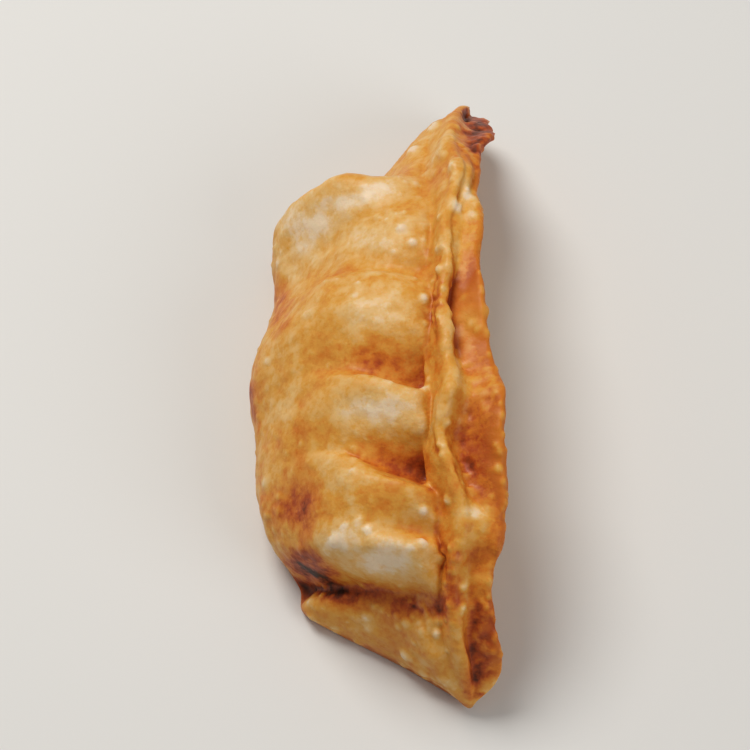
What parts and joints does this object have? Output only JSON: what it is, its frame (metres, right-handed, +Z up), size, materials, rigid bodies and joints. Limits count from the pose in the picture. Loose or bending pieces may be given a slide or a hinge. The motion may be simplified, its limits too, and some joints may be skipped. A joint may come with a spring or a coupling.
{
  "type": "pan-fried gyoza",
  "caption": "Half-moon dumpling with a pleated golden front, a wavy pressed seam that leans over the back, pointed tips and a flat fried base to rest on",
  "frame": {"origin": "On the ground under the middle of the dumpling's box, in the plane of its flat fried base.", "axes": "+Z up, +Y along the dumpling towards the far tip, +X towards the back, over which the seam leans. The pleated front faces -X."},
  "size_m": [0.0326, 0.087, 0.0276],
  "materials": {
    "fried_dough": null
  },
  "bodies": {
    "root": {"gyoza": "fried_dough"}
  },
  "joints": []
}
